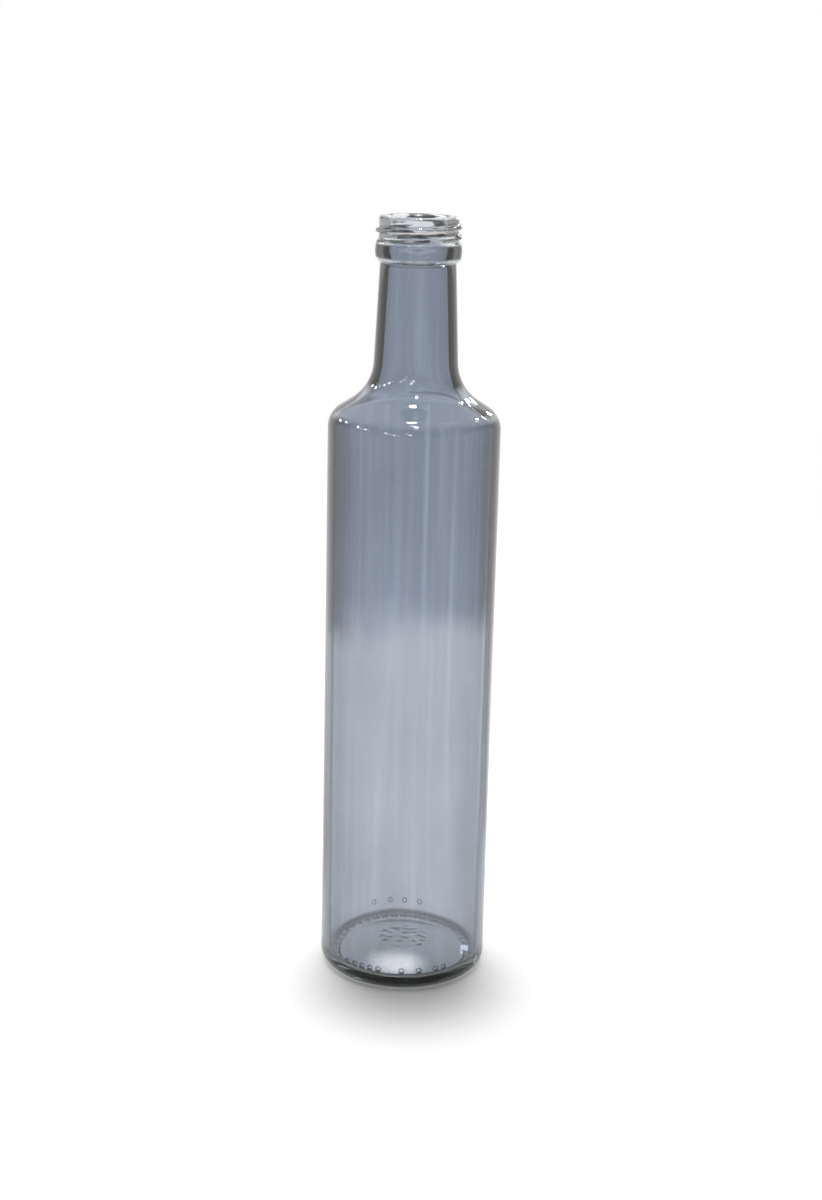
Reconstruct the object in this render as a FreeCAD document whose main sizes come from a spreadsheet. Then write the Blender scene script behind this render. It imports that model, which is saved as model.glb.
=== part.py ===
"""A tall cylindrical bottle of clear pressed-and-blown glass, one solid, in millimetres.

The glass stands on a narrow bearing ring round a domed push-up, and the floor inside follows the
dome. A straight wall rises to a rounded shoulder, a short cone leads into the tapered neck, and
the neck ends in a screw finish: a bead that retains the closure's pilfer band, one ridge of
thread that fades at both ends, and a rounded sealing lip. The origin is the centre of the base,
on the surface the bottle stands on, and +Z runs up through the mouth.
"""

import FreeCAD, Part

import math
import os

import Sketcher
from FreeCAD import Vector

SIZES = {
    # body
    "overall_height": 275.5,
    "body_diameter": 61.0,
    "wall_thickness": 2.6,
    # base
    "heel_radius": 4.3,
    "bearing_width": 3.0,
    "push_up_height": 2.8,
    "base_thickness": 4.6,
    "floor_radius": 2.5,
    # shoulder and neck; the neck's height runs from the straight wall's top to the finish
    "neck_height": 57.6,
    "shoulder_radius": 8.4,
    "shoulder_slope": 32.4,
    "cone_length": 4.7,
    "neck_taper": 2.6,
    "neck_inset": 0.55,
    "bore_diameter": 20.4,
    # screw finish; its diameter is at the foot of the thread, and what stands out starts there
    "finish_diameter": 27.5,
    "finish_height": 15.9,
    "lip_rounding": 1.1,
    "bead_reach": 1.4,
    "bead_height": 5.6,
    "bead_lift": 1.3,
    "bead_bulge": 9.0,
    "thread_depth": 1.15,
    "thread_pitch": 3.5,
    "thread_turns": 1.69,
    "thread_top_drop": 2.9,
    "thread_base_width": 2.3,
    "thread_crest_width": 0.8,
    "thread_fade_angle": 40.0,
    "thread_end_angle": 45.0,
}

# how far the thread's ridge reaches into the glass it is fused to
OVERLAP = 0.9
# how far the thread's ends dive under the finish's surface
SINK = 0.15
# points of the thread's path in one turn
PATH_POINTS_PER_TURN = 36
# how far the cavity's form stands out above the lip that it opens
MOUTH_CLEARANCE = 1.0
# the most of the lip's wall that each of its two roundings may take
LIP_SHARE = 0.45

STRAIGHT_TOP = "sizes.overall_height - sizes.finish_height - sizes.neck_height"
NECK_TOP = "sizes.overall_height - sizes.finish_height"
LIP_WALL = "(sizes.finish_diameter - sizes.bore_diameter) / 2"
LIP_ROUNDING = f"min(sizes.lip_rounding; {LIP_SHARE} * {LIP_WALL})"
RING_INNER = "(sizes.body_diameter / 2 - sizes.heel_radius - sizes.bearing_width)"
DOME_RADIUS = f"({RING_INNER} ^ 2 + sizes.push_up_height ^ 2) / (2 * sizes.push_up_height)"


def make_sheet(doc):
    """The driving dimensions, one aliased cell for each."""
    sheet = doc.addObject("Spreadsheet::Sheet", "sizes")
    for row, (name, value) in enumerate(SIZES.items(), start=1):
        sheet.set(f"A{row}", name)
        sheet.set(f"B{row}", str(value))
        sheet.setAlias(f"B{row}", name)
    doc.recompute()
    return sheet


def straight_top(s):
    """Height at which the straight wall ends and the shoulder begins."""
    return s.overall_height - s.finish_height - s.neck_height


def lip_rounding(s):
    """Radius of the lip's two roundings, limited where the lip's wall is thin."""
    return min(s.lip_rounding, LIP_SHARE * (s.finish_diameter - s.bore_diameter) / 2)


def dome_radius(s):
    """Radius of the push-up's dome, from its rise and the bearing ring's inner radius."""
    inner = s.body_diameter / 2 - s.heel_radius - s.bearing_width
    return (inner**2 + s.push_up_height**2) / (2 * s.push_up_height)


def bead_sag(s):
    """How much less the bead stands out at its edges than at its middle."""
    return s.bead_bulge - math.sqrt(s.bead_bulge**2 - (s.bead_height / 2) ** 2)


class Profile:
    """A closed half section in the XZ plane, drawn as a chain of lines and arcs.

    Each step starts where the last one ended. Sizes that the chain keeps are bound to the sheet.
    """

    def __init__(self, body, name):
        plane = next(f for f in body.Origin.OriginFeatures if f.Role == "XZ_Plane")
        self.sketch = body.newObject("Sketcher::SketchObject", name)
        self.sketch.AttachmentSupport = [(plane, "")]
        self.sketch.MapMode = "FlatFace"
        self.ends = []

    def line(self, start, end):
        """A straight step, from start to end, as (radius, height) pairs."""
        index = self.sketch.addGeometry(Part.LineSegment(Vector(*start, 0), Vector(*end, 0)))
        self.ends.append((index, 1, 2))
        return index

    def arc(self, centre, start, end, turn):
        """A round step about centre. turn is 1 where it runs anticlockwise, -1 clockwise."""
        radius = math.dist(centre, start)
        angles = [math.atan2(p[1] - centre[1], p[0] - centre[0]) for p in (start, end)]
        first, last = angles if turn > 0 else reversed(angles)
        if last < first:
            last += 2 * math.pi
        circle = Part.Circle(Vector(*centre, 0), Vector(0, 0, 1), radius)
        index = self.sketch.addGeometry(Part.ArcOfCircle(circle, first, last))
        self.ends.append((index, 1, 2) if turn > 0 else (index, 2, 1))
        return index

    def join(self, smooth):
        """Ties each step to the next, tangent at the steps that smooth lists."""
        for (one, _, one_end), (other, other_start, _) in zip(self.ends, self.ends[1:]):
            kind = "Tangent" if (one, other) in smooth else "Coincident"
            self.bind(kind, one, one_end, other, other_start)
        (last, _, last_end), (first, first_start, _) = self.ends[-1], self.ends[0]
        self.bind("Coincident", last, last_end, first, first_start)

    def bind(self, kind, *where, size=None, value=None):
        """Adds a constraint, bound to an expression of the sheet where size is given."""
        extra = () if value is None else (value,)
        index = self.sketch.addConstraint(Sketcher.Constraint(kind, *where, *extra))
        if size:
            self.sketch.setExpression(f"Constraints[{index}]", size)

    def height(self, step, end, size, value):
        """Height of a step's end above the surface that the bottle stands on."""
        self.bind("DistanceY", -1, 1, step, end, size=size, value=value)

    def radius(self, step, end, size, value):
        """Distance of a step's end from the bottle's axis."""
        self.bind("DistanceX", -1, 1, step, end, size=size, value=value)


def slope_chain(s, wall_radius, shoulder_radius, neck_radius):
    """Tangent points from the straight wall, over the shoulder and cone, into the neck.

    The cone leaves the shoulder arc at the slope angle. The throat arc touches the cone at its
    end and the tapered neck line, so its radius is the gap between the cone's end and that line,
    over one less the cosine of the turn.
    """
    slope = math.radians(s.shoulder_slope)
    taper = math.radians(s.neck_taper)
    cone_normal = (math.sin(slope), math.cos(slope))
    neck_normal = (math.cos(taper), math.sin(taper))
    centre = (wall_radius - shoulder_radius, straight_top(s))
    cone_start = (
        centre[0] + shoulder_radius * cone_normal[0],
        centre[1] + shoulder_radius * cone_normal[1],
    )
    cone_end = (
        cone_start[0] - s.cone_length * cone_normal[1],
        cone_start[1] + s.cone_length * cone_normal[0],
    )
    neck_end = (neck_radius, s.overall_height - s.finish_height)
    gap = sum((a - b) * n for a, b, n in zip(cone_end, neck_end, neck_normal))
    throat_radius = gap / (1 - sum(a * b for a, b in zip(cone_normal, neck_normal)))
    throat = tuple(a + throat_radius * n for a, n in zip(cone_end, cone_normal))
    neck_start = tuple(a - throat_radius * n for a, n in zip(throat, neck_normal))
    return centre, cone_start, cone_end, throat, neck_start, neck_end


def draw_shoulder_and_neck(profile, s, wall_start, shoulder, neck):
    """Adds wall, shoulder, cone, throat and neck, with their sizes bound.

    shoulder and neck are radii, each with its expression. Returns the wall and the neck, and the
    pairs of steps that meet smoothly.
    """
    centre, cone_start, cone_end, throat, neck_start, neck_end = slope_chain(
        s, wall_start[0], shoulder[1], neck[1]
    )
    wall_end = (wall_start[0], centre[1])
    wall = profile.line(wall_start, wall_end)
    shoulder_arc = profile.arc(centre, wall_end, cone_start, 1)
    cone = profile.line(cone_start, cone_end)
    throat_arc = profile.arc(throat, cone_end, neck_start, -1)
    neck_line = profile.line(neck_start, neck_end)
    profile.bind("Vertical", wall)
    profile.height(wall, 2, STRAIGHT_TOP, wall_end[1])
    profile.bind("Radius", shoulder_arc, size=shoulder[0], value=shoulder[1])
    slope = math.pi - math.radians(s.shoulder_slope)
    profile.bind("Angle", cone, size="180 deg - sizes.shoulder_slope * 1 deg", value=slope)
    profile.bind("Distance", cone, size="sizes.cone_length", value=s.cone_length)
    taper = math.pi / 2 + math.radians(s.neck_taper)
    profile.bind("Angle", neck_line, size="90 deg + sizes.neck_taper * 1 deg", value=taper)
    profile.radius(neck_line, 2, neck[0], neck[1])
    profile.height(neck_line, 2, NECK_TOP, neck_end[1])
    chain = (wall, shoulder_arc, cone, throat_arc, neck_line)
    return wall, neck_line, set(zip(chain, chain[1:]))


def outer_profile(body, s):
    """Half section of the outside: push-up, bearing ring, heel, wall, shoulder, neck, finish."""
    half = s.body_diameter / 2
    bearing_outer = half - s.heel_radius
    bearing_inner = bearing_outer - s.bearing_width
    p = Profile(body, "outer_profile")
    dome_centre = (0, s.push_up_height - dome_radius(s))
    dome = p.arc(dome_centre, (0, s.push_up_height), (bearing_inner, 0), -1)
    bearing = p.line((bearing_inner, 0), (bearing_outer, 0))
    heel = p.arc((bearing_outer, s.heel_radius), (bearing_outer, 0), (half, s.heel_radius), 1)
    root = s.finish_diameter / 2
    neck_radius = root - s.neck_inset
    wall, neck, smooth = draw_shoulder_and_neck(
        p, s, (half, s.heel_radius),
        ("sizes.shoulder_radius", s.shoulder_radius),
        ("sizes.finish_diameter / 2 - sizes.neck_inset", neck_radius),
    )
    p.bind("PointOnObject", dome, 3, -2)
    p.bind("PointOnObject", dome, 2, -2)
    p.height(dome, 2, "sizes.push_up_height", s.push_up_height)
    p.bind("Horizontal", bearing)
    p.bind("PointOnObject", bearing, 1, -1)
    p.bind("DistanceX", bearing, 1, bearing, 2, size="sizes.bearing_width", value=s.bearing_width)
    p.bind("Radius", heel, size="sizes.heel_radius", value=s.heel_radius)
    p.radius(wall, 1, "sizes.body_diameter / 2", half)

    bead_low = s.overall_height - s.finish_height + s.bead_lift
    bead_high = bead_low + s.bead_height
    bead_top = bead_high + s.bead_reach / 2
    bead_crest = root + s.bead_reach
    bead_edge = bead_crest - bead_sag(s)
    neck_end = (neck_radius, s.overall_height - s.finish_height)
    bead_under = p.line(neck_end, (bead_edge, bead_low))
    bead_centre = (bead_crest - s.bead_bulge, (bead_low + bead_high) / 2)
    bead_side = p.arc(bead_centre, (bead_edge, bead_low), (bead_edge, bead_high), 1)
    p.line((bead_edge, bead_high), (root, bead_top))
    low = f"{NECK_TOP} + sizes.bead_lift"
    sag = "(sizes.bead_bulge - sqrt(sizes.bead_bulge ^ 2 - (sizes.bead_height / 2) ^ 2))"
    p.bind("Radius", bead_side, size="sizes.bead_bulge", value=s.bead_bulge)
    p.bind("Vertical", bead_side, 1, bead_side, 2)
    p.height(bead_under, 2, low, bead_low)
    p.height(bead_side, 2, f"{low} + sizes.bead_height", bead_high)
    p.radius(bead_under, 2, f"sizes.finish_diameter / 2 + sizes.bead_reach - {sag}", bead_edge)

    rounding = lip_rounding(s)
    lip_centre = (root - rounding, s.overall_height - rounding)
    root_wall = p.line((root, bead_top), (root, lip_centre[1]))
    lip = p.arc(lip_centre, (root, lip_centre[1]), (lip_centre[0], s.overall_height), 1)
    top = p.line((lip_centre[0], s.overall_height), (0, s.overall_height))
    axis = p.line((0, s.overall_height), (0, s.push_up_height))
    p.join(smooth | {(bearing, heel), (heel, wall), (root_wall, lip), (lip, top)})
    p.bind("Vertical", root_wall)
    p.radius(root_wall, 1, "sizes.finish_diameter / 2", root)
    p.height(root_wall, 1, f"{low} + sizes.bead_height + sizes.bead_reach / 2", bead_top)
    p.bind("Radius", lip, size=LIP_ROUNDING, value=rounding)
    p.bind("Horizontal", top)
    p.bind("PointOnObject", top, 2, -2)
    p.height(axis, 1, "sizes.overall_height", s.overall_height)
    return p.sketch


def cavity_profile(body, s):
    """Half section of the hollow: floor, wall, shoulder, neck and the lip's inner rounding.

    The floor shares the push-up's centre. Its corner's rounding touches the floor's arc and the
    wall, so its centre is the sum of both radii from the floor's.
    """
    half = s.body_diameter / 2 - s.wall_thickness
    floor = s.push_up_height + s.base_thickness
    floor_arc = dome_radius(s) + s.base_thickness
    floor_centre = floor - floor_arc
    reach = half - s.floor_radius
    lean = math.asin(reach / (floor_arc + s.floor_radius))
    corner_centre = (reach, floor_centre + (floor_arc + s.floor_radius) * math.cos(lean))
    touch = (floor_arc * math.sin(lean), floor_centre + floor_arc * math.cos(lean))
    p = Profile(body, "cavity_profile")
    bottom = p.arc((0, floor_centre), (0, floor), touch, -1)
    corner = p.arc(corner_centre, touch, (half, corner_centre[1]), 1)
    bore = s.bore_diameter / 2
    wall, neck, smooth = draw_shoulder_and_neck(
        p, s, (half, corner_centre[1]),
        ("sizes.shoulder_radius - sizes.wall_thickness", s.shoulder_radius - s.wall_thickness),
        ("sizes.bore_diameter / 2", bore),
    )
    rounding = lip_rounding(s)
    lip_centre = (bore + rounding, s.overall_height - rounding)
    top = s.overall_height + MOUTH_CLEARANCE
    mouth = p.line((bore, s.overall_height - s.finish_height), (bore, lip_centre[1]))
    lip = p.arc(lip_centre, (bore, lip_centre[1]), (lip_centre[0], s.overall_height), -1)
    riser = p.line((lip_centre[0], s.overall_height), (lip_centre[0], top))
    cover = p.line((lip_centre[0], top), (0, top))
    p.line((0, top), (0, floor))

    p.join(smooth | {(bottom, corner), (corner, wall), (mouth, lip)})
    p.bind("PointOnObject", bottom, 3, -2)
    p.bind("PointOnObject", bottom, 2, -2)
    p.height(bottom, 2, "sizes.push_up_height + sizes.base_thickness", floor)
    p.bind("Radius", bottom, size=f"{DOME_RADIUS} + sizes.base_thickness", value=floor_arc)
    p.bind("Radius", corner, size="sizes.floor_radius", value=s.floor_radius)
    p.radius(wall, 1, "sizes.body_diameter / 2 - sizes.wall_thickness", half)
    p.bind("Vertical", mouth)
    p.bind("Radius", lip, size=LIP_ROUNDING, value=rounding)
    p.bind("Vertical", lip, 3, riser, 1)
    p.height(riser, 1, "sizes.overall_height", s.overall_height)
    p.bind("Vertical", riser)
    p.bind("Horizontal", cover)
    p.bind("PointOnObject", cover, 2, -2)
    p.height(cover, 2, f"sizes.overall_height + {MOUTH_CLEARANCE}", top)
    return p.sketch


def revolve(doc, name, draw_profile, s):
    """A body made by turning a half section once round the bottle's axis."""
    body = doc.addObject("PartDesign::Body", name)
    sketch = draw_profile(body, s)
    doc.recompute()
    solid = body.newObject("PartDesign::Revolution", f"{name}_turned")
    solid.Profile = sketch
    solid.ReferenceAxis = (sketch, ["V_Axis"])
    solid.Angle = 360
    sketch.Visibility = False
    doc.recompute()
    return body


def thread_path(s):
    """The thread's path: a helix on the finish whose ends dive under the surface.

    Height climbs by one pitch in each turn. Over the fade angle at either end, the radius eases
    from below the surface up to the finish's own radius.
    """
    total = 360 * s.thread_turns
    top_height = s.overall_height - s.thread_top_drop
    count = math.ceil(PATH_POINTS_PER_TURN * s.thread_turns)
    points = []
    for i in range(count + 1):
        turned = total * i / count
        angle = math.radians(s.thread_end_angle - total + turned)
        share = min(1.0, min(turned, total - turned) / s.thread_fade_angle)
        ease = share * share * (3 - 2 * share)
        radius = s.finish_diameter / 2 - (1 - ease) * (s.thread_depth + SINK)
        height = top_height - s.thread_pitch * (total - turned) / 360
        points.append(Vector(radius * math.cos(angle), radius * math.sin(angle), height))
    return points


def make_thread(doc, s):
    """One ridge of rounded trapezoid section, swept along its path and kept upright."""
    points = thread_path(s)
    curve = Part.BSplineCurve()
    curve.interpolate(points)
    spine = Part.Wire(curve.toShape())
    start = points[0]
    outward = Vector(start.x, start.y, 0).normalize()
    corners = (
        (-OVERLAP, -s.thread_base_width / 2),
        (0, -s.thread_base_width / 2),
        (s.thread_depth, -s.thread_crest_width / 2),
        (s.thread_depth, s.thread_crest_width / 2),
        (0, s.thread_base_width / 2),
        (-OVERLAP, s.thread_base_width / 2),
    )
    outline = [start + outward * out + Vector(0, 0, up) for out, up in corners]
    section = Part.makePolygon(outline + outline[:1])
    sweep = Part.BRepOffsetAPI.MakePipeShell(spine)
    sweep.setBiNormalMode(Vector(0, 0, 1))
    sweep.add(section)
    sweep.build()
    sweep.makeSolid()
    thread = doc.addObject("Part::Feature", "thread_ridge")
    thread.Shape = sweep.shape()
    return thread


def make_bottle(doc, outside, thread, cavity):
    """The whole bottle, one piece of glass: outside and thread, less the hollow."""
    threaded = doc.addObject("Part::Fuse", "threaded_form")
    threaded.Base = outside
    threaded.Tool = thread
    threaded.Refine = False
    bottle = doc.addObject("Part::Cut", "glass_bottle")
    bottle.Base = threaded
    bottle.Tool = cavity
    bottle.Refine = False
    bottle.Label = "bottle"
    doc.recompute()
    assert threaded.Shape.Volume > outside.Shape.Volume, "the thread added nothing"
    assert bottle.Shape.Volume < threaded.Shape.Volume, "the cavity cut nothing"
    return bottle


def check(doc, parts):
    """Stops the build if an object failed or a part is not one valid solid."""
    for item in doc.Objects:
        bad = {"Invalid", "Error"} & set(item.State)
        if bad:
            raise RuntimeError(f"{item.Label} is {bad}")
    for item in parts:
        shape = item.Shape
        if shape.isNull() or not shape.isValid() or len(shape.Solids) != 1:
            raise RuntimeError(f"{item.Label} is not one valid solid")


def main():
    doc = FreeCAD.newDocument("bottle")
    sizes = make_sheet(doc)
    outside = revolve(doc, "outside_form", outer_profile, sizes)
    cavity = revolve(doc, "cavity_form", cavity_profile, sizes)
    thread = make_thread(doc, sizes)
    bottle = make_bottle(doc, outside, thread, cavity)
    check(doc, [bottle])
    os.makedirs("parts", exist_ok=True)
    bottle.Shape.exportStep(f"parts/{bottle.Label}.step")
    box = bottle.Shape.optimalBoundingBox()
    print(f"{bottle.Label}: {box.XLength:.2f} x {box.YLength:.2f} x {box.ZLength:.2f} mm,"
          f" glass {bottle.Shape.Volume / 1000:.1f} ml, lowest {box.ZMin:.3f}")


main()
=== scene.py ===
import math
from functools import partial

import bpy
import numpy as np
from mathutils import Matrix, Vector


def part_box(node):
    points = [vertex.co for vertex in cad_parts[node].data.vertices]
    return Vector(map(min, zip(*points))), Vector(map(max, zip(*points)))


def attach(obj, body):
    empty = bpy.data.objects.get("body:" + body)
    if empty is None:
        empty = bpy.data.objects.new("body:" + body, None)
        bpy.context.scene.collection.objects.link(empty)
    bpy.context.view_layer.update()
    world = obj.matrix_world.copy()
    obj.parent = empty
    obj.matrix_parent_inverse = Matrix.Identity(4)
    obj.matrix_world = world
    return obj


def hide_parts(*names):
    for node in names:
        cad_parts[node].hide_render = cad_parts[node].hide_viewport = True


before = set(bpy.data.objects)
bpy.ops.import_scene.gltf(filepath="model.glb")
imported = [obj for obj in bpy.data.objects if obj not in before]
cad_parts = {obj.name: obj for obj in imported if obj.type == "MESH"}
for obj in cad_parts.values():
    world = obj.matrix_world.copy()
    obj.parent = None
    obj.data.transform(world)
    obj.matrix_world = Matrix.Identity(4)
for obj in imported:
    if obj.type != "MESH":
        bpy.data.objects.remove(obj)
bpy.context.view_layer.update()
low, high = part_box("bottle")
mm = 0.001    # metres in a millimetre; the glass is worked out in millimetres

# the frame's own box gives the bottle's height and radius
fullHeight = high.z / mm
bodyRadius = min(high.x, high.y, -low.x, -low.y) / mm
print(f"frame loaded: bottle {2 * bodyRadius:.1f} x {fullHeight:.1f} mm")

glass = {
    "wall": 2.6,              # thickness of the straight wall
    "heelRadius": 4.3,
    "bearingWidth": 3.0,      # the flat ring it stands on
    "pushUp": 2.8,            # rise of the domed underside
    "baseThickness": 4.6,     # the floor inside follows the dome
    "floorRadius": 2.5,       # rounding between the floor and the wall, inside
    "neckHeight": 57.6,       # from the top of the straight wall to the finish
    "shoulderRadius": 8.4,
    "shoulderSlope": 32.4,    # degrees from the horizontal
    "coneLength": 4.7,
    "neckTaper": 2.6,         # degrees from the vertical
    "neckInset": 0.55,        # how much slimmer the neck ends than the finish
    "boreRadius": 10.2,
    "finishRadius": 13.75,
    "finishHeight": 15.9,
    "lipRounding": 1.1,
    "columns": 164,           # points round the bottle
    "fineTop": 10.0,          # below this height the small relief outside needs three times as many
}

bead = {
    "reach": 1.4,             # how far it stands out from the finish
    "height": 5.6,
    "lift": 1.3,
    "bulge": 9.0,             # radius of its slightly rounded side
    "softness": 0.35,         # rounding of its edges
}

thread = {
    "depth": 1.15,
    "pitch": 3.5,
    "turns": 1.69,
    "topDrop": 2.9,           # from the lip down to the thread's upper end
    "baseWidth": 2.3,
    "crestWidth": 0.8,
    "fadeAngle": 40.0,
    "endAngle": 45.0,
}

relief = {
    "dimpleHeight": 8.2,      # of the small round dimples above the table
    "dimpleRadius": 1.2,
    "dimpleDepth": 0.30,
    "dimpleShade": 1.7,       # how dark the painted shade on a dimple's rim is
    "dimpleRim": (0.6, 0.26), # where it lies and how wide it is, as squares of parts of the radius
    "frontDimples": [-40, -34, -28, -22, -16, 0, 12, 24, 30],    # degrees right of the front
    "backDimples": [166, 178, 190, 204],
    "seamAngle": 63.0,        # one mould seam, degrees right of the front; the other is opposite
    "seamWidth": 0.35,
    "seamRise": 0.07,
    "seamShade": 0.35,        # how dark the painted shade on a seam is
    "nicks": 84,              # radial nicks in the bearing ring
    "nickDepth": 0.16,
    "wallUneven": 0.26,       # how much the blown wall wanders inside
    "wallWaves": 8,
    "discRadius": 10.0,       # the wrinkled chill mark on the floor
    "discDepth": 0.15,
    "wrinkles": 9,            # waves that cross in it
    "wrinklePace": (0.8, 2.1),
    "seed": 11,
}


def smoothStep(x):
    # 3 x^2 - 2 x^3 of x held between 0 and 1
    x = np.clip(x, 0.0, 1.0)
    return x * x * (3 - 2 * x)


def roundedOutline(corners):
    # Corners are (radius, height, rounding, step to the next). A rounding r takes r * tan(turn / 2)
    # off both straight lines, and its arc is cut so that chords are as long as the step before it.
    # Returns the points as an array of (radius, height).
    points = [np.array(corners[0][:2], float)]
    for i in range(1, len(corners)):
        here = np.array(corners[i][:2], float)
        step = corners[i - 1][3]
        start = points[-1]
        if i == len(corners) - 1 or corners[i][2] == 0:
            arc = np.array([here])
        else:
            rounding = corners[i][2]
            before = here - np.array(corners[i - 1][:2], float)
            after = np.array(corners[i + 1][:2], float) - here
            before, after = before / np.linalg.norm(before), after / np.linalg.norm(after)
            cross = before[0] * after[1] - before[1] * after[0]
            turn = math.atan2(cross, before @ after)
            reach = rounding * math.tan(abs(turn) / 2)
            side = math.copysign(1.0, turn)
            centre = here - before * reach + side * rounding * np.array([-before[1], before[0]])
            first = math.atan2(*(here - before * reach - centre)[::-1])
            arcStep = min(step, corners[i][3], 0.16 * rounding + 0.05)
            count = max(3, math.ceil(abs(turn) * rounding / arcStep))
            angles = first + turn * np.linspace(0, 1, count + 1)
            arc = centre + rounding * np.stack([np.cos(angles), np.sin(angles)], 1)
        gap = np.linalg.norm(arc[0] - start)
        if gap > 1e-6:
            count = max(1, math.ceil(gap / step))
            share = np.linspace(0, 1, count + 1)[1:, None]
            points.extend(start + (arc[0] - start) * share)
        points.extend(arc[1:])
    return np.array(points)


def slopeCorners(wallRadius, neckRadius, steps):
    # Corners of the shoulder and the throat. The cone leaves the shoulder's arc at the slope angle,
    # and the throat's arc touches the cone's end and the tapered neck line: its radius is the gap
    # between that end and the line, over one less the cosine of the turn.
    slope, taper = math.radians(glass["shoulderSlope"]), math.radians(glass["neckTaper"])
    shoulder = glass["shoulderRadius"] - (bodyRadius - wallRadius)
    neckTop = fullHeight - glass["finishHeight"]
    wallTop = neckTop - glass["neckHeight"]
    coneNormal = np.array([math.sin(slope), math.cos(slope)])
    neckNormal = np.array([math.cos(taper), math.sin(taper)])
    coneStart = np.array([wallRadius - shoulder, wallTop]) + shoulder * coneNormal
    coneEnd = coneStart + glass["coneLength"] * np.array([-coneNormal[1], coneNormal[0]])
    neckEnd = np.array([neckRadius, neckTop])
    throat = (coneEnd - neckEnd) @ neckNormal / (1 - coneNormal @ neckNormal)
    # each corner lies where the two lines that its arc touches meet
    shoulderCorner = (wallRadius, coneStart[1] + (coneStart[0] - wallRadius) * math.tan(slope))
    meet = np.linalg.solve([coneNormal, neckNormal], [coneNormal @ coneEnd, neckNormal @ neckEnd])
    return [
        (*shoulderCorner, shoulder, steps[0]),
        (*meet, throat, steps[1]),
        (*neckEnd, 0.0, steps[2]),
    ]


def ringAndDome():
    # The bearing ring's two radii and the dome's, which is the sum of the squares of the ring's inner
    # radius and the dome's rise, over twice the rise.
    ring = bodyRadius - glass["heelRadius"]
    inner = ring - glass["bearingWidth"]
    return ring, inner, (inner ** 2 + glass["pushUp"] ** 2) / (2 * glass["pushUp"])


def outsideOutline():
    # The outside, from the middle of the underside up to the lip. A corner's last number is the step
    # between the points that follow it.
    _, inner, dome = ringAndDome()
    domeCorner = dome * math.tan(math.asin(inner / dome) / 2)
    root = glass["finishRadius"]
    neckTop = fullHeight - glass["finishHeight"]
    crest = root + bead["reach"]
    edge = crest - bead["bulge"] + math.sqrt(bead["bulge"] ** 2 - (bead["height"] / 2) ** 2)
    beadLow = neckTop + bead["lift"]
    beadHigh = beadLow + bead["height"]
    soft = bead["softness"]
    return roundedOutline([
        (0.0, glass["pushUp"], 0.0, 1.6),
        (domeCorner, glass["pushUp"], dome, 0.8),
        (inner, 0.0, 0.3, 0.3),
        (bodyRadius, 0.0, glass["heelRadius"], 0.32),
        (bodyRadius, glass["fineTop"], 0.0, 0.3),
        (bodyRadius, glass["fineTop"] + 4.0, 0.0, 4.5),
        *slopeCorners(bodyRadius, root - glass["neckInset"], (0.8, 1.6, 0.4)),
        (edge, beadLow, soft, 0.5),
        (crest, (beadLow + beadHigh) / 2, bead["bulge"], 0.5),
        (edge, beadHigh, soft, 0.2),
        (root, beadHigh + bead["reach"] / 2, soft, 0.2),
        (root, fullHeight - 2.0, 0.0, 0.3),
        (root, fullHeight, glass["lipRounding"], 0.3),
        ((root + glass["boreRadius"]) / 2, fullHeight, 0.0, 0.3),
    ])


def insideOutline():
    # The hollow, from the lip down to the middle of the floor. The floor shares the dome's centre.
    # Its corner's arc touches it from above, so that arc's centre is both radii from the floor's.
    bore = glass["boreRadius"]
    wall = bodyRadius - glass["wall"]
    floor = glass["pushUp"] + glass["baseThickness"]
    shoulderCorner, throatCorner, neckEnd = slopeCorners(wall, bore, (0.8, 0.8, 0.8))
    floorArc = ringAndDome()[2] + glass["baseThickness"]
    lean = math.asin((wall - glass["floorRadius"]) / (floorArc + glass["floorRadius"]))
    domeCorner = floorArc * math.tan(lean / 2)
    return roundedOutline([
        ((glass["finishRadius"] + bore) / 2, fullHeight, 0.0, 0.35),
        (bore, fullHeight, glass["lipRounding"], 0.5),
        (bore, fullHeight - 6.0, 0.0, 1.6),
        (*neckEnd[:2], 0.0, 2.4),
        (*throatCorner[:3], 0.9),
        (*shoulderCorner[:3], 4.4),
        (wall, floor + 14.0, 0.0, 1.2),
        (wall, floor - (wall - domeCorner) * math.tan(lean), glass["floorRadius"], 0.5),
        (domeCorner, floor, floorArc, 0.55),
        (0.0, floor, 0.0, 0.55),
    ])


def threadRidge(angle, height):
    # Height of the thread's ridge over the finish. The ridge's middle climbs one pitch in each turn;
    # its section is a trapezoid with eased flanks, and its depth eases to nothing at both ends.
    total = 360.0 * thread["turns"]
    topHeight = fullHeight - thread["topDrop"]
    halfBase, halfCrest = thread["baseWidth"] / 2, thread["crestWidth"] / 2
    ridge = np.zeros(np.broadcast(angle, height).shape)
    fromEnd = (thread["endAngle"] - np.degrees(angle)) % 360.0
    for lap in range(math.ceil(thread["turns"]) + 1):
        back = fromEnd + 360.0 * lap
        middle = topHeight - thread["pitch"] * back / 360.0
        flank = (halfBase - np.abs(height - middle)) / (halfBase - halfCrest)
        fade = smoothStep(np.minimum(back, total - back) / thread["fadeAngle"])
        ridge = np.maximum(ridge, thread["depth"] * fade * smoothStep(flank))
    return ridge


def frontAngle(degrees):
    # angle about Z of a place that many degrees right of the front, which faces -Y
    return math.radians(degrees - 90.0)


def turnBetween(angle, other):
    # shortest turn from one angle to the other, in radians
    return (angle - other + math.pi) % (2 * math.pi) - math.pi


def dimples(angle, height):
    # Square of the distance to the nearest dimple's middle, over the square of its radius; 1 or more
    # is outside them all.
    nearest = np.full(np.broadcast(angle, height).shape, 9.0)
    for place in relief["frontDimples"] + relief["backDimples"]:
        across = turnBetween(angle, frontAngle(place)) * bodyRadius
        away = (across ** 2 + (height - relief["dimpleHeight"]) ** 2) / relief["dimpleRadius"] ** 2
        nearest = np.minimum(nearest, away)
    return nearest


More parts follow.
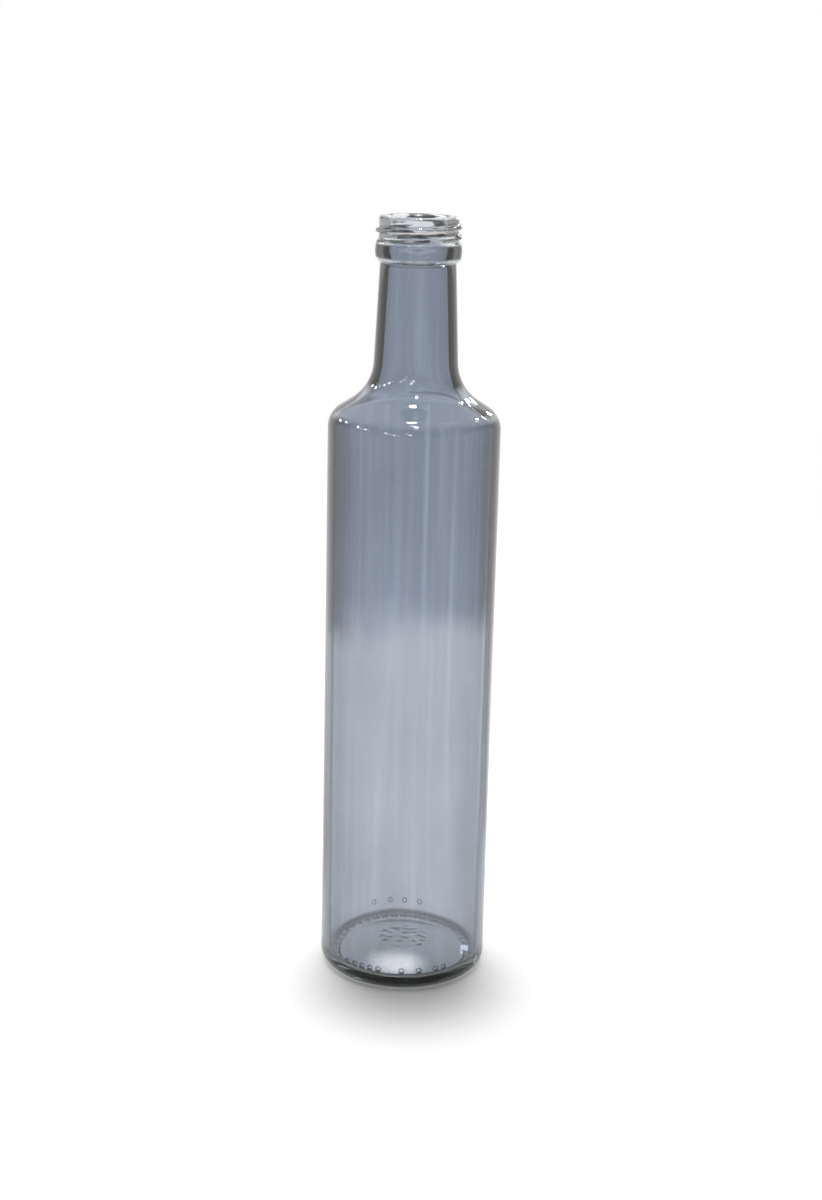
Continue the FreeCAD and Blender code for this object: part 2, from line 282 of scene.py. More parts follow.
def ringNicks(angle, radius, height):
    # Radial nicks round the bearing ring, 0 to 1: the eased upper part of two sine waves of the angle,
    # on the ring only.
    ring, inner, _ = ringAndDome()
    onRing = smoothStep((radius - inner - 0.3) / 0.6) * smoothStep((ring + 1.4 - radius) / 0.8)
    wave = np.sin(relief["nicks"] * angle) + 0.5 * np.sin(relief["nicks"] * 0.5 * angle + radius)
    return onRing * (height < 1.2) * smoothStep(0.5 * wave + 0.2)


def outsideRelief(angle, radius, height):
    # What stands out from the outline: a seam as a bell curve across its width. What is sunk: the
    # dimples, each (1 - d^2)^2 of the distance d over its radius, and the bearing ring's nicks.
    out = -relief["dimpleDepth"] * np.clip(1 - dimples(angle, height), 0, 1) ** 2
    neckTop = fullHeight - glass["finishHeight"]
    onSeam = smoothStep((height - 3.0) / 3.0) * smoothStep((neckTop - height) / 3.0)
    for place in (relief["seamAngle"], relief["seamAngle"] + 180.0):
        across = turnBetween(angle, frontAngle(place)) * radius / relief["seamWidth"]
        out += relief["seamRise"] * onSeam * np.exp(-across ** 2)
    return out - relief["nickDepth"] * ringNicks(angle, radius, height)


def insideRelief(angle, radius, height, rng):
    # How far the blown wall wanders: the sum of a few low sine waves round the bottle that drift with
    # height, each as tall as one over its count. On the floor, a disc of crossed sine waves with bent
    # fronts, which fades at its rim.
    out = np.zeros(np.broadcast(angle, height).shape)
    wall = smoothStep((radius - glass["boreRadius"] - 2.0) / 12.0)
    rise = smoothStep((height - 20.0) / 40.0)
    for count in range(1, relief["wallWaves"] + 1):
        phase, drift = rng.uniform(0, 2 * math.pi), rng.uniform(-1.2, 1.2)
        sway = np.sin(count * angle + phase + drift * height / 60.0)
        out += relief["wallUneven"] / count * sway * wall * rise
    x, y = radius * np.cos(angle), radius * np.sin(angle)
    wrinkle = np.zeros_like(out)
    for _ in range(relief["wrinkles"]):
        way, phase = rng.uniform(0, math.pi), rng.uniform(0, 2 * math.pi)
        pace = rng.uniform(*relief["wrinklePace"])
        bend = 0.8 * np.sin(0.7 * y + phase) + 0.6 * np.sin(0.9 * x - phase)
        wrinkle += np.sin(pace * (x * math.cos(way) + y * math.sin(way)) + bend + phase)
    onFloor = height < glass["pushUp"] + glass["baseThickness"] + 1.0
    rim = smoothStep((relief["discRadius"] - radius) / 1.6)
    return out + relief["discDepth"] * 0.2 * wrinkle * rim * onFloor


def ringPoints(outline, columns, bulge):
    # Turns an outline about Z: each point of the grid is the outline's own, moved by the bulge along
    # the outline's normal. Columns is the count round the bottle.
    angle = np.arange(columns) * 2 * math.pi / columns
    along = np.gradient(outline, axis=0)
    normal = np.stack([along[:, 1], -along[:, 0]], 1)
    normal /= np.linalg.norm(normal, axis=1)[:, None]
    radius, height = outline[:, 0:1], outline[:, 1:2]
    out = bulge(angle[None, :], radius, height)
    radius = radius + out * normal[:, 0:1]
    height = np.broadcast_to(height + out * normal[:, 1:2], radius.shape)
    return np.stack([radius * np.cos(angle), radius * np.sin(angle), height], 2)


def joinRings(first, second, firstStart, secondStart):
    # Faces between two rings of a turned surface. Where one has three times the points, each of its
    # threes meets one span of the other as a triangle, a four-sided face and a triangle.
    fewer = min(first, second)
    j = np.arange(fewer)
    k = (j + 1) % fewer
    if first == second:
        return np.stack([firstStart + j, firstStart + k, secondStart + k, secondStart + j], 1).tolist()
    a, b, c, d = 3 * j, 3 * j + 1, 3 * j + 2, 3 * k
    if first < second:
        a, b, c, d = (secondStart + side for side in (a, b, c, d))
        j, k = firstStart + j, firstStart + k
        fans = [np.stack(f, 1).tolist() for f in ((j, b, a), (j, k, c, b), (k, d, c))]
    else:
        a, b, c, d = (firstStart + side for side in (a, b, c, d))
        j, k = secondStart + j, secondStart + k
        fans = [np.stack(f, 1).tolist() for f in ((a, b, j), (b, c, k, j), (c, d, k))]
    return [face for fan in fans for face in fan]


def paintedLightMasks(points, inside, isOutside):
    # Four numbers for each point. First, where painted shade goes: a bell curve over the dimples'
    # rims, the nicks, and faintly one over the seams. Then where a painted highlight goes: bell curves
    # of the height over the bead's two edges. Then where painted shade goes on the rounding between
    # floor and wall, nicked by a sine wave of the angle. Last the rim, how far from square on, 0 to 1,
    # a line of sight there just touches the hollow: one less the root of (1 - (hollow's radius / own
    # radius) squared), and 2, which nothing reaches, inside.
    angle, height = np.arctan2(points[:, 1], points[:, 0]), points[:, 2]
    radius = np.maximum(np.hypot(points[:, 0], points[:, 1]), 1e-3)
    rimPlace, rimWidth = relief["dimpleRim"]
    ring = np.exp(-((dimples(angle, height) - rimPlace) / rimWidth) ** 2)
    # painted shade over the dimples' rims, the nicks and the seams
    paintedMarkShade = np.clip(relief["dimpleShade"] * ring, 0, 1)
    paintedMarkShade *= radius > bodyRadius - 1.0
    paintedMarkShade = np.maximum(paintedMarkShade, ringNicks(angle, radius, height))
    away = np.abs(turnBetween(2 * angle, 2 * frontAngle(relief["seamAngle"]))) / 2 * radius
    onWall = (radius > bodyRadius - 0.5) & (height > 6.0)
    paintedMarkShade = np.maximum(paintedMarkShade, relief["seamShade"] * np.exp(-(away / relief["seamWidth"]) ** 2) * onWall)
    beadLow = fullHeight - glass["finishHeight"] + bead["lift"]
    # painted highlight over the bead's two edges
    edge = np.zeros_like(height)
    for rise, width in ((0.1, 0.28), (bead["height"], 0.3)):
        edge = np.maximum(edge, np.exp(-((height - beadLow - rise) / width) ** 2))
    wall = inside[inside[:, 1] > inside[-1, 1] + 6.0][::-1]
    ratio = np.minimum(np.interp(height, wall[:, 1], wall[:, 0]) / radius, 1.0)
    rim = np.where(isOutside, 1 - np.sqrt(1 - ratio ** 2), 2.0)
    wallRadius = bodyRadius - glass["wall"]
    # painted shade on the rounding between floor and wall
    corner = smoothStep((radius - wallRadius + 2.8) / 0.8) * smoothStep((6.0 - height) / 1.0)
    corner *= 0.7 + 0.3 * smoothStep(0.5 + 0.5 * np.sin(relief["nicks"] * angle))
    paintedMarkShade, edge, corner = paintedMarkShade * isOutside, edge * isOutside, corner * ~isOutside
    return {"paintedMarkShade": paintedMarkShade, "edge": edge, "corner": corner, "rim": rim}


def buildGlass():
    # The whole piece as one closed surface: out from the middle of the underside, up the outside,
    # over the lip, down the inside and in to the middle of the floor.
    coarse, fine = glass["columns"], 3 * glass["columns"]    # the two counts that joinRings joins
    outline = outsideOutline()
    ringEdge = bodyRadius - glass["heelRadius"] - glass["bearingWidth"] - 1.0
    isFine = (outline[:, 0] > ringEdge) & (outline[:, 1] < glass["fineTop"] + 0.5)
    rng = np.random.default_rng(relief["seed"])

    def bulgeOutside(angle, radius, height):
        onFinish = height > fullHeight - glass["finishHeight"] + bead["lift"] + bead["height"] / 2
        ridge = threadRidge(angle, height) * (radius <= glass["finishRadius"] + bead["reach"])
        over = radius - glass["finishRadius"]
        ridge = np.clip(ridge - over, 0, None) * onFinish * (radius > glass["finishRadius"] - 1e-3)
        return ridge + outsideRelief(angle, radius, height)

    rows = []
    for kind, columns in ((False, coarse), (True, fine)):
        grid = ringPoints(outline, columns, bulgeOutside)
        rows += [(i, grid[i]) for i in np.flatnonzero(isFine == kind) if i > 0]
    rows = [points for _, points in sorted(rows, key=lambda row: row[0])]
    inside = insideOutline()[1:]
    grid = ringPoints(inside, coarse, lambda *place: insideRelief(*place, rng))
    rows += list(grid[:-1])

    verts = [np.array([[0.0, 0.0, outline[0, 1]]])] + rows + [grid[-1, :1]]
    starts = np.cumsum([0] + [len(v) for v in verts])
    faces = []
    count = len(rows[0])
    j = np.arange(count)
    faces += np.stack([np.zeros_like(j), 1 + (j + 1) % count, 1 + j], 1).tolist()
    for i in range(1, len(rows)):
        faces += joinRings(len(verts[i]), len(verts[i + 1]), starts[i], starts[i + 1])
    count = len(rows[-1])
    j = np.arange(count)
    last = starts[len(rows)]
    faces += np.stack([last + j, last + (j + 1) % count, np.full(count, starts[-2])], 1).tolist()

    points = np.concatenate(verts)
    mesh = bpy.data.meshes.new("glassBottle")
    mesh.from_pydata(points * mm, [], faces)
    mesh.validate()
    isOutside = np.arange(len(points)) < starts[sum(outline[:, 0] > 0) + 1]
    for name, values in paintedLightMasks(points, inside, isOutside).items():
        mesh.attributes.new(name, "FLOAT", "POINT").data.foreach_set("value", values)
    mesh.polygons.foreach_set("use_smooth", [True] * len(mesh.polygons))
    mesh.update()
    piece = bpy.data.objects.new("glassBottle", mesh)
    bpy.context.scene.collection.objects.link(piece)
    triangles = sum(len(face.vertices) - 2 for face in mesh.polygons)
    print(f"glass: {len(mesh.vertices)} points, {triangles} triangles")
    return piece


glassLookAndPaintedLight = {
    "upperPaintedShade": (0.458, 0.500, 0.572),    # painted shade: the dark surroundings seen through the upper part
    "lowerPaintedShade": (0.599, 0.635, 0.685),    # painted shade, paler, for what is seen through the lower part
    "shadeHeight": 0.147,                   # metres above the table where one turns to the other
    "shadeBlend": 0.007,
    "shadeLean": 0.15,                      # how much lower that is at the back, for each metre there
    "shadeTwist": 8.0,                      # how much more it leans to the right, for each metre there
    "waves": (22.0, 0.018),                # broad waves in that height: their grain and their rise
    "feathers": (200.0, 0.014),            # and fine ones, drawn out along the height
    "plain": 0.95,                         # how much of the painted shade there is between the streaks
    "streaks": (0.12, 0.30),               # how much the pale streaks lighten it, low and high
    "streakGrain": 260.0,
    "streakFrom": (0.48, 0.72),            # the noise where a streak starts and is whole
    "clouds": 0.10,                        # how much broad cloudy patches lighten and darken it
    "cloudGrain": 45.0,
    "finishPaintedShade": (0.86, 0.875, 0.895),    # painted shade, lighter, for what is seen through the finish above its bead
    "finishFrom": 0.2664,
    "patchPaintedShade": (0.05, 0.05, 0.05),       # painted dark patches that lie along the finish
    "patchGrain": 110.0,
    "patchFrom": (0.54, 0.61),
    "slopePaintedReflection": (0.565, 0.610, 0.680),    # painted reflection, paler, on the shoulder's slope
    "slopeRimFrom": (0.66, 0.76),          # how far from square on its painted dark rim starts and is whole
    "levelPaintedHighlight": (1.00, 1.00, 1.00),       # painted highlight on level faces in the finish, and on the bead's edges
    "levelFrom": (0.45, 0.75),             # how level a face is, as a cosine, from none to whole
    "sideFrom": (0.15, 1.0),               # where the painted shade at the sides starts and is whole; 1 is the rim
    "bodySides": ((0.42, 0.46, 0.52), (0.065, 0.075, 0.090)),    # painted side shade, low and high
    "neckSide": (0.50, 0.50, 0.50),
    "neckFrom": 0.206,                     # metres above the table
    "rimBlend": 0.05,                      # how far short of the rim the painted dark starts
    "bodyRims": ((0.040, 0.055, 0.080), (0.003, 0.004, 0.006)),  # painted dark: what is left past the rim there
    # painted dark past the rim of the neck and of the finish
    "neckRim": (0.0006, 0.0006, 0.0005),
    "finishRim": (0.16, 0.16, 0.16),
    "rimLine": (0.035, 0.036, 0.037),      # a painted pale line in the rim of the bead and the neck's top
    "rimLineFrom": 0.253,
    "rimLineSpan": (0.12, 0.19, 0.24, 0.34),    # past the rim: it starts, is whole, fades, ends
    "underPaintedShade": (0.20, 0.225, 0.26),      # painted shade on the bead's underside
    # painted shade on the heel
    "heelPaintedShade": (0.075, 0.080, 0.075),
    "heelTop": 0.0054,                     # metres above the table
    # painted shade on the bearing ring
    "bearingPaintedShade": (0.14, 0.145, 0.15),
    # painted shade on the dimples' rims, the nicks and the seams
    "markPaintedShade": (0.01, 0.01, 0.01),
    "cornerPaintedShade": (0.05, 0.05, 0.05),      # painted shade on the floor's corner, where it is seen across the hollow
    "roughness": 0.0,
    "ior": 1.52,
    "absorb": (0.83, 0.85, 0.84),
    "density": 80.0,                       # per metre of glass
}


def newMaterial(name):
    material = bpy.data.materials.new(name)
    material.use_nodes = True
    nodes, links = material.node_tree.nodes, material.node_tree.links
    nodes.clear()
    return material, nodes, links


def easedRange(nodes, links, value, start, end):
    # 0 below start, 1 above end, eased between them; start and end are numbers
    node = nodes.new("ShaderNodeMapRange")
    node.interpolation_type = "SMOOTHSTEP"
    node.inputs["From Min"].default_value, node.inputs["From Max"].default_value = start, end
    links.new(value, node.inputs["Value"])
    return node.outputs["Result"]


def mathNode(nodes, links, operation, *values):
    # a Math node whose inputs are sockets or numbers
    node = nodes.new("ShaderNodeMath")
    node.operation = operation
    for socket, value in zip(node.inputs, values):
        if isinstance(value, (int, float)):
            socket.default_value = value
        else:
            links.new(value, socket)
    return node.outputs[0]


def product(nodes, links, first, *others):
    # all the sockets multiplied together
    for other in others:
        first = mathNode(nodes, links, "MULTIPLY", first, other)
    return first


def mixColours(nodes, links, factor, first, second, blend="MIX"):
    # a Mix node for colours; each is a socket or three numbers
    node = nodes.new("ShaderNodeMix")
    node.data_type = "RGBA"
    node.blend_type = blend
    for name, value in (("Factor", factor), ("A", first), ("B", second)):
        socket = next(s for s in node.inputs if s.name == name and s.enabled)
        if isinstance(value, tuple):
            socket.default_value = (*value, 1)
        elif isinstance(value, (int, float)):
            socket.default_value = value
        else:
            links.new(value, socket)
    return next(s for s in node.outputs if s.enabled)


def attribute(nodes, name):
    # a number kept for each point of the mesh
    node = nodes.new("ShaderNodeAttribute")
    node.attribute_name = name
    return node.outputs["Fac"]


def distanceFrom(nodes, links, place, middle):
    node = nodes.new("ShaderNodeVectorMath")
    node.operation = "DISTANCE"
    node.inputs[1].default_value = middle
    links.new(place, node.inputs[0])
    return node.outputs["Value"]


def stretchedNoise(nodes, links, place, stretch, scale, detail=1.0):
    # a noise whose grain is longer along the axes where stretch is smaller
    along, noise = nodes.new("ShaderNodeMapping"), nodes.new("ShaderNodeTexNoise")
    along.inputs["Scale"].default_value = stretch
    noise.inputs["Scale"].default_value = scale
    noise.inputs["Detail"].default_value = detail
    links.new(place, along.inputs["Vector"])
    links.new(along.outputs["Vector"], noise.inputs["Vector"])
    return noise.outputs["Fac"]


def glassPaintedTone(nodes, links, place, height):
    # Painted shade for what is seen through the glass: the lower tone eases to the darker upper one
    # over a height that two noises wave and that leans back by an amount that grows to the right.
    # Pale streaks that run down the walls and broad clouds vary it. The finish is clearer, with
    # painted dark patches that lie along it. Returns the painted tone, and how far, 0 to 1, a place
    # is in the upper part and in the finish.
    eased, calc, mixed, noise = (
        partial(make, nodes, links) for make in (easedRange, mathNode, mixColours, stretchedNoise))
    split = nodes.new("ShaderNodeSeparateXYZ")
    links.new(place, split.inputs[0])
    (waveGrain, waveRise), (featherGrain, featherRise) = glassLookAndPaintedLight["waves"], glassLookAndPaintedLight["feathers"]
    wave = noise(place, (1, 1, 1), waveGrain, 2.0)
    feather = noise(place, (1, 1, 0.2), featherGrain, 4.0)
    waving = calc("MULTIPLY_ADD", wave, waveRise, height)
    waving = calc("MULTIPLY_ADD", feather, featherRise, waving)
    lean = calc("MULTIPLY_ADD", split.outputs["X"], glassLookAndPaintedLight["shadeTwist"], glassLookAndPaintedLight["shadeLean"])
    leaning = calc("MULTIPLY_ADD", split.outputs["Y"], lean, waving)
    middle, blend = glassLookAndPaintedLight["shadeHeight"], glassLookAndPaintedLight["shadeBlend"]
    upper = eased(leaning, middle - blend, middle + blend)
    # painted shade for what is seen through the glass, darker above than below
    paintedTone = mixed(upper, glassLookAndPaintedLight["lowerPaintedShade"], glassLookAndPaintedLight["upperPaintedShade"])

    streak = noise(place, (1, 1, 0.02), glassLookAndPaintedLight["streakGrain"], 2.0)
    cloud = noise(place, (1, 1, 0.6), glassLookAndPaintedLight["cloudGrain"], 2.0)
    faint, strong = glassLookAndPaintedLight["streaks"]
    factor = calc("MULTIPLY_ADD", eased(streak, *glassLookAndPaintedLight["streakFrom"]),
                  calc("MULTIPLY_ADD", upper, strong - faint, faint),
                  glassLookAndPaintedLight["plain"] - glassLookAndPaintedLight["clouds"])
    factor = calc("MULTIPLY_ADD", cloud, 2 * glassLookAndPaintedLight["clouds"], factor)
    paintedTone = mixed(1.0, paintedTone, factor, "MULTIPLY")

    # painted dark patches over a lighter painted tone in the finish
    patches = noise(place, (1, 1, 4), glassLookAndPaintedLight["patchGrain"])
    patched = mixed(eased(patches, *glassLookAndPaintedLight["patchFrom"]),
                    glassLookAndPaintedLight["finishPaintedShade"], glassLookAndPaintedLight["patchPaintedShade"])
    finishFrom = glassLookAndPaintedLight["finishFrom"]
    inFinish = eased(height, finishFrom, finishFrom + 0.001)
    return mixed(inFinish, paintedTone, patched), upper, inFinish


def paintedGlassColour(nodes, links):
    # The painted tone, with more painted light and shade laid on in this order: painted shade towards
    # the sides; past the rim, where sight runs along inside the wall, painted dark, darkest in the thick
    # glass of the neck, but for a painted pale line at its top. The shoulder's slope gets a paler
    # painted reflection and a painted dark rim. Level faces, such as the thread's flanks, have no
    # painted rim, and those in the finish get a painted highlight. The bead's underside gets painted
    # shade and its edges a painted highlight; the bearing ring, the heel, the dimples' rims, the nicks,
    # the seams and the floor's corner get painted shade.
    eased, calc, times, mixed = (
        partial(make, nodes, links) for make in (easedRange, mathNode, product, mixColours))
    place = nodes.new("ShaderNodeTexCoord").outputs["Object"]
    split, flat, length = (
        nodes.new(f"ShaderNode{kind}") for kind in ("SeparateXYZ", "VectorMath", "VectorMath"))
    flat.operation, length.operation = "MULTIPLY", "LENGTH"
    flat.inputs[1].default_value = (1, 1, 0)
    links.new(place, split.inputs[0])
    links.new(place, flat.inputs[0])
    links.new(flat.outputs[0], length.inputs[0])
    height, radius = split.outputs["Z"], length.outputs["Value"]
    paintedTone, upper, inFinish = glassPaintedTone(nodes, links, place, height)
    neckFrom = glassLookAndPaintedLight["neckFrom"]
    inNeck = eased(height, neckFrom, neckFrom + 0.01)

    shape, normal = nodes.new("ShaderNodeNewGeometry"), nodes.new("ShaderNodeSeparateXYZ")
    links.new(shape.outputs["Normal"], normal.inputs[0])
    entering = calc("SUBTRACT", 1.0, shape.outputs["Backfacing"])
    level = eased(calc("ABSOLUTE", normal.outputs["Z"]), *glassLookAndPaintedLight["levelFrom"])
    upright = calc("SUBTRACT", 1.0, level)
    layer = nodes.new("ShaderNodeLayerWeight")
    layer.inputs["Blend"].default_value = 0.5
    facing, rimStart = layer.outputs["Facing"], attribute(nodes, "rim")

    # painted shade towards the sides
    toSide = eased(calc("DIVIDE", facing, rimStart), *glassLookAndPaintedLight["sideFrom"])
    side = mixed(inNeck, mixed(upper, *glassLookAndPaintedLight["bodySides"]), glassLookAndPaintedLight["neckSide"])
    sided = mixed(1.0, paintedTone, side, "MULTIPLY")
    colour = mixed(times(toSide, upright, entering), paintedTone, sided)

    # past the rim: painted dark, with a painted pale line at the neck's top
    past = calc("SUBTRACT", facing, rimStart)
    start, whole, fade, end = glassLookAndPaintedLight["rimLineSpan"]
    lineFrom = glassLookAndPaintedLight["rimLineFrom"]
    onLine = times(eased(past, start, whole), eased(past, end, fade),
                   eased(height, lineFrom, lineFrom + 0.006))
    neckRim = mixed(onLine, glassLookAndPaintedLight["neckRim"], glassLookAndPaintedLight["rimLine"])
    bodyRim = mixed(upper, *glassLookAndPaintedLight["bodyRims"])
    finishRim = mixed(1.0, paintedTone, glassLookAndPaintedLight["finishRim"], "MULTIPLY")
    rim = mixed(inFinish, mixed(inNeck, bodyRim, neckRim), finishRim)
    onRim = times(eased(past, -glassLookAndPaintedLight["rimBlend"], 0.0), upright, entering)
    colour = mixed(onRim, colour, rim)

    # painted reflection on the shoulder's slope, and painted dark at its rim
    onSlope = times(level, upper)
    colour = mixed(onSlope, colour, glassLookAndPaintedLight["slopePaintedReflection"])
    slopeRim = times(onSlope, entering, eased(facing, *glassLookAndPaintedLight["slopeRimFrom"]))
    colour = mixed(slopeRim, colour, bodyRim)

    neckTop = high.z - glass["finishHeight"] * mm
    beadLow = neckTop + bead["lift"] * mm
    aboveNeck = eased(height, beadLow - 0.0007, beadLow - 0.0002)
    # painted highlight on level faces above the bead's foot
    colour = mixed(times(level, aboveNeck), colour, glassLookAndPaintedLight["levelPaintedHighlight"])
    # painted shade on the bead's underside
    under = times(eased(height, neckTop - 0.0002, neckTop + 0.0002),
                  eased(height, beadLow - 0.0001, beadLow - 0.0005), entering)
    colour = mixed(under, colour, glassLookAndPaintedLight["underPaintedShade"])
    # painted highlight along the bead's two edges
    colour = mixed(attribute(nodes, "edge"), colour, glassLookAndPaintedLight["levelPaintedHighlight"])

    ring, inner, _ = ringAndDome()
    # painted shade on the bearing ring
    onBearing = times(eased(height, 0.0005, 0.0001), eased(radius, (inner - 0.3) * mm, inner * mm))
    colour = mixed(onBearing, colour, glassLookAndPaintedLight["bearingPaintedShade"])
    # painted shade on the heel
    onHeel = times(eased(height, glassLookAndPaintedLight["heelTop"], glassLookAndPaintedLight["heelTop"] - 0.001),
                   eased(radius, ring * mm, (ring + 0.6) * mm), entering)
    colour = mixed(onHeel, colour, glassLookAndPaintedLight["heelPaintedShade"])
    # painted shade on the dimples' rims, the nicks and the seams
    colour = mixed(attribute(nodes, "paintedMarkShade"), colour, glassLookAndPaintedLight["markPaintedShade"])
    # painted shade on the floor's corner
    return mixed(times(attribute(nodes, "corner"), entering), colour, glassLookAndPaintedLight["cornerPaintedShade"])


def glassMaterial():
    # clear glass that absorbs a little along the way, its colour, with painted light and shade, worked
    # out above
    material, nodes, links = newMaterial("glass")
    output = nodes.new("ShaderNodeOutputMaterial")
    surface = nodes.new("ShaderNodeBsdfPrincipled")
    volume = nodes.new("ShaderNodeVolumeAbsorption")
    surface.inputs["Transmission Weight"].default_value = 1.0
    surface.inputs["IOR"].default_value = glassLookAndPaintedLight["ior"]
    surface.inputs["Roughness"].default_value = glassLookAndPaintedLight["roughness"]
    volume.inputs["Color"].default_value = (*glassLookAndPaintedLight["absorb"], 1)
    volume.inputs["Density"].default_value = glassLookAndPaintedLight["density"]
    links.new(paintedGlassColour(nodes, links), surface.inputs["Base Color"])
    links.new(surface.outputs[0], output.inputs["Surface"])
    links.new(volume.outputs[0], output.inputs["Volume"])
    return material


studio = {
    "floorRadius": 4.0,
    "floorColour": (0.80, 0.80, 0.80),
    "floorLift": 0.40,             # what brings the lit floor up to white
    # a painted shadow round the foot: the lift starts and is whole at these distances from this place
    "paintedContactShadow": ((0.002, -0.026, 0.0), (0.010, 0.050)),
    "openFloor": (0.25, 0.9),      # distances over which the floor turns plain white
    "horizonWhite": (0.10, 0.45),  # heights of the sky, as a sine, from white to the ceiling
    "ceiling": 0.75,
    "fill": 0.49,                  # the sky's light on solid things
    # painted light that the bottle gathers on the floor: how much, its middle, its radii from none to
    # whole
    "gathered": [
        (0.48, (0.0, 0.0, 0.0), (0.030, 0.024)),
        (1.9, (-0.002, -0.012, 0.0), (0.014, 0.002)),
    ],
    "gatheredColour": (1.0, 0.90, 0.80),
}


def seenByCameraAndGlass(nodes, links):
    # 1 for a ray from the camera or one that comes by gloss or through glass
    path = nodes.new("ShaderNodeLightPath").outputs
    seen = mathNode(nodes, links, "ADD", path["Is Camera Ray"], path["Is Glossy Ray"])
    seen = mathNode(nodes, links, "ADD", seen, path["Is Transmission Ray"])
    return mathNode(nodes, links, "MINIMUM", seen, 1.0)


def mixShaders(nodes, links, factor, first, second):
    # first where the factor is 0, second where it is 1
    node = nodes.new("ShaderNodeMixShader")
    for socket, value in zip(node.inputs, (factor, first.outputs[0], second.outputs[0])):
        links.new(value, socket)
    return node


def floorMaterial():
    # Pale and matt. Where it is looked at, a glow lifts the lit floor to white, but less so round the
    # foot, which keeps the cast shadow and paints a deeper shadow there; two more glows under the
    # bottle are painted light that stands for the light it gathers. Far from the bottle the floor is
    # plain white.
    material, nodes, links = newMaterial("paleFloor")
    place = nodes.new("ShaderNodeTexCoord").outputs["Object"]
    matt, glow, white = (
        nodes.new(f"ShaderNode{kind}") for kind in ("BsdfDiffuse", "Emission", "Emission"))
    matt.inputs["Color"].default_value = (*studio["floorColour"], 1)
    # painted shadow round the foot: less glow near it
    middle, radii = studio["paintedContactShadow"]
    clear = easedRange(nodes, links, distanceFrom(nodes, links, place, middle), *radii)
    lift = mathNode(nodes, links, "MULTIPLY", clear, studio["floorLift"])
    for strength, middle, radii in studio["gathered"]:
        patch = easedRange(nodes, links, distanceFrom(nodes, links, place, middle), *radii)
        lift = mathNode(nodes, links, "MULTIPLY_ADD", patch, strength, lift)
    colour = mixColours(nodes, links, patch, (1.0, 1.0, 1.0), studio["gatheredColour"])
    links.new(lift, glow.inputs["Strength"])
    links.new(colour, glow.inputs["Color"])
    lifted = nodes.new("ShaderNodeAddShader")
    links.new(matt.outputs[0], lifted.inputs[0])
    links.new(glow.outputs[0], lifted.inputs[1])
    away = distanceFrom(nodes, links, place, (0.0, 0.0, 0.0))
    looks = mixShaders(nodes, links, easedRange(nodes, links, away, *studio["openFloor"]), lifted, white)
    floor = mixShaders(nodes, links, seenByCameraAndGlass(nodes, links), matt, looks)
    links.new(floor.outputs[0], nodes.new("ShaderNodeOutputMaterial").inputs["Surface"])
    return material


def buildFloor():
    # a flat disc, one fan of triangles round its middle
    count = 96
    angle = np.arange(count) * 2 * math.pi / count
    rim = np.stack([np.cos(angle), np.sin(angle), np.zeros(count)], 1) * studio["floorRadius"]
    faces = [(0, 1 + i, 1 + (i + 1) % count) for i in range(count)]
    mesh = bpy.data.meshes.new("floor")
    mesh.from_pydata(np.concatenate([[[0, 0, 0]], rim]), [], faces)
    floor = bpy.data.objects.new("floor", mesh)
    floor.data.materials.append(floorMaterial())
    bpy.context.scene.collection.objects.link(floor)
    print("floor laid")


def buildWorld():
    # White round the horizon, easing to the ceiling overhead, for the camera, gloss and glass; an
    # even fill for the rest.
    world = bpy.data.worlds.new("studio")
    bpy.context.scene.world = world
    world.use_nodes = True
    nodes, links = world.node_tree.nodes, world.node_tree.links
    nodes.clear()
    sky, fill = nodes.new("ShaderNodeBackground"), nodes.new("ShaderNodeBackground")
    sky.inputs["Color"].default_value = fill.inputs["Color"].default_value = (1, 1, 1, 1)
    fill.inputs["Strength"].default_value = studio["fill"]
    split = nodes.new("ShaderNodeSeparateXYZ")
    links.new(nodes.new("ShaderNodeTexCoord").outputs["Generated"], split.inputs[0])
    rise = easedRange(nodes, links, split.outputs["Z"], *studio["horizonWhite"])
    strength = mathNode(nodes, links, "MULTIPLY_ADD", rise, studio["ceiling"] - 1.0, 1.0)
    links.new(strength, sky.inputs["Strength"])
    both = mixShaders(nodes, links, seenByCameraAndGlass(nodes, links), fill, sky)
    links.new(both.outputs[0], nodes.new("ShaderNodeOutputWorld").inputs["Surface"])


softBox = {"size": 1.5, "distance": 1.5, "turn": -170.0, "rise": 70.0, "power": 17.0}

spots = {
    "distance": 1.6,
    "glow": 60.0,      # how bright each is, where 1 is white
    # each lamp's place, as degrees right of the front and above the horizon, and its width in degrees
    "places": [(-5, 28, 2.5), (-11, 34, 2.5), (-27, 24, 2.5), (-40, 29, 3), (-72, 29, 3),
               (-88, 30, 3), (-115, 27, 3), (-127, 20, 3), (5, 66, 5), (176, 75, 4),
               (-80, 88, 7), (135, 39, 4), (156, 18, 6)],
}


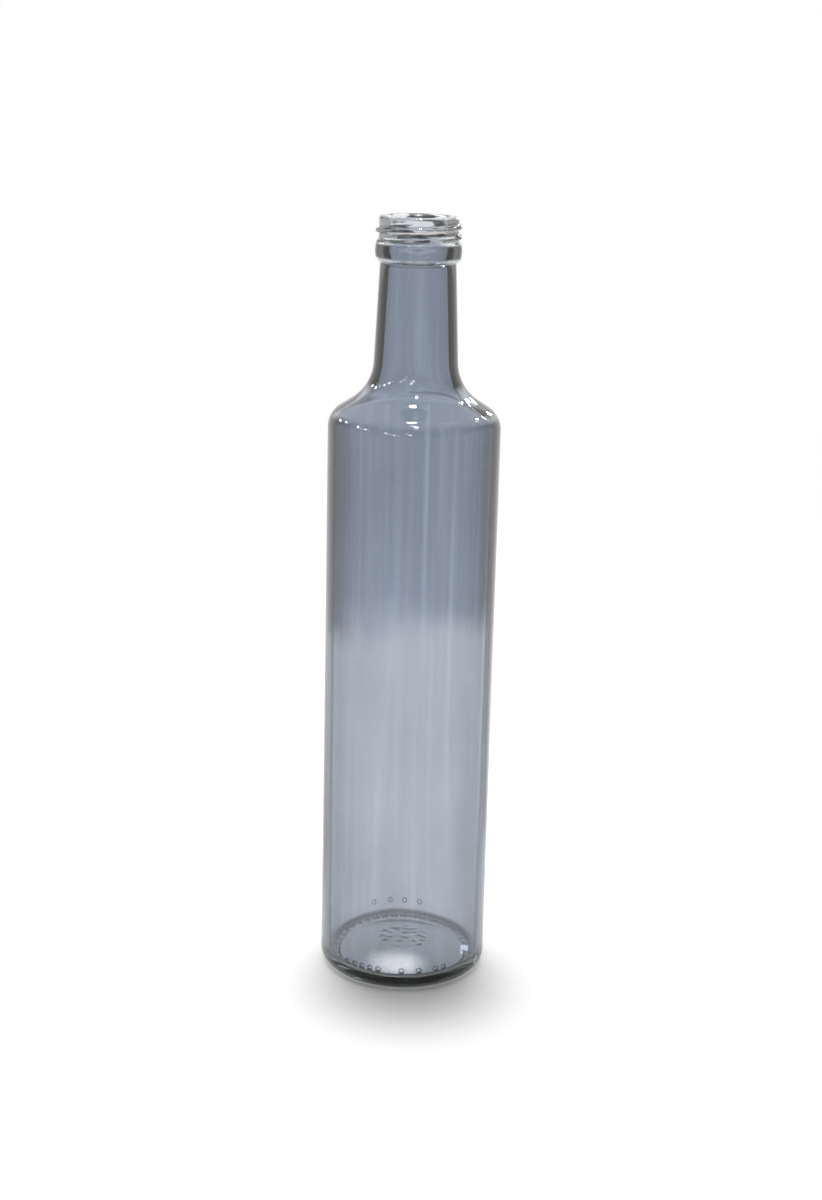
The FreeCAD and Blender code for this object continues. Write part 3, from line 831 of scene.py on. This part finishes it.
def aimedLamp(name, place, size, power, forSolids):
    # a disc lamp at (turn, rise, distance), aimed at the bottle's middle
    turn, rise, distance = math.radians(place[0]), math.radians(place[1]), place[2]
    toward = Vector((math.sin(turn) * math.cos(rise), -math.cos(turn) * math.cos(rise), math.sin(rise)))
    data = bpy.data.lights.new(name, "AREA")
    data.shape = "DISK"
    data.size = size
    data.energy = power
    lamp = bpy.data.objects.new(name, data)
    lamp.location = Vector((0, 0, 0.15)) + toward * distance
    lamp.rotation_mode = "QUATERNION"
    lamp.rotation_quaternion = toward.to_track_quat("Z", "Y")
    lamp.visible_camera = False
    lamp.visible_diffuse = forSolids
    lamp.visible_glossy = lamp.visible_transmission = not forSolids
    bpy.context.scene.collection.objects.link(lamp)


def buildLamps():
    # one soft lamp for the floor and its shadow, and small ones that glint in the glass
    place = (softBox["turn"], softBox["rise"], softBox["distance"])
    aimedLamp("softLamp", place, softBox["size"], softBox["power"], True)
    for number, (turn, rise, width) in enumerate(spots["places"]):
        place = (turn, rise, spots["distance"])
        size = 2 * spots["distance"] * math.tan(math.radians(width / 2))
        # a disc of radiance L sends out pi * L for each square metre
        power = math.pi * spots["glow"] * math.pi * (size / 2) ** 2
        aimedLamp(f"spot{number}", place, size, power, False)
    print("lamps hung")


cameraFacts = {
    "place": (0.0, -0.6407, 0.3201),
    "pitch": 13.94,      # degrees below the horizon
    "yaw": -0.02,
    "roll": 1.37,
    "lens": 55.45,
    "shift": -0.05,
}


def buildCamera():
    data = bpy.data.cameras.new("camera")
    data.sensor_width = 36.0
    data.lens = cameraFacts["lens"]
    data.shift_y = cameraFacts["shift"]
    camera = bpy.data.objects.new("camera", data)
    camera.location = cameraFacts["place"]
    upright = Matrix.Rotation(math.radians(90.0 - cameraFacts["pitch"]), 3, "X")
    turned = Matrix.Rotation(math.radians(-cameraFacts["yaw"]), 3, "Z")
    rolled = Matrix.Rotation(math.radians(cameraFacts["roll"]), 3, "Z")
    camera.rotation_mode = "QUATERNION"
    camera.rotation_quaternion = (turned @ upright @ rolled).to_quaternion()
    bpy.context.scene.collection.objects.link(camera)
    bpy.context.scene.camera = camera


bottle = buildGlass()
bottle.data.materials.append(glassMaterial())
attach(bottle, "root")
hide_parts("bottle")
print("glass finished")
buildFloor()
buildWorld()
buildLamps()
buildCamera()
bpy.context.scene.view_settings.view_transform = "Standard"
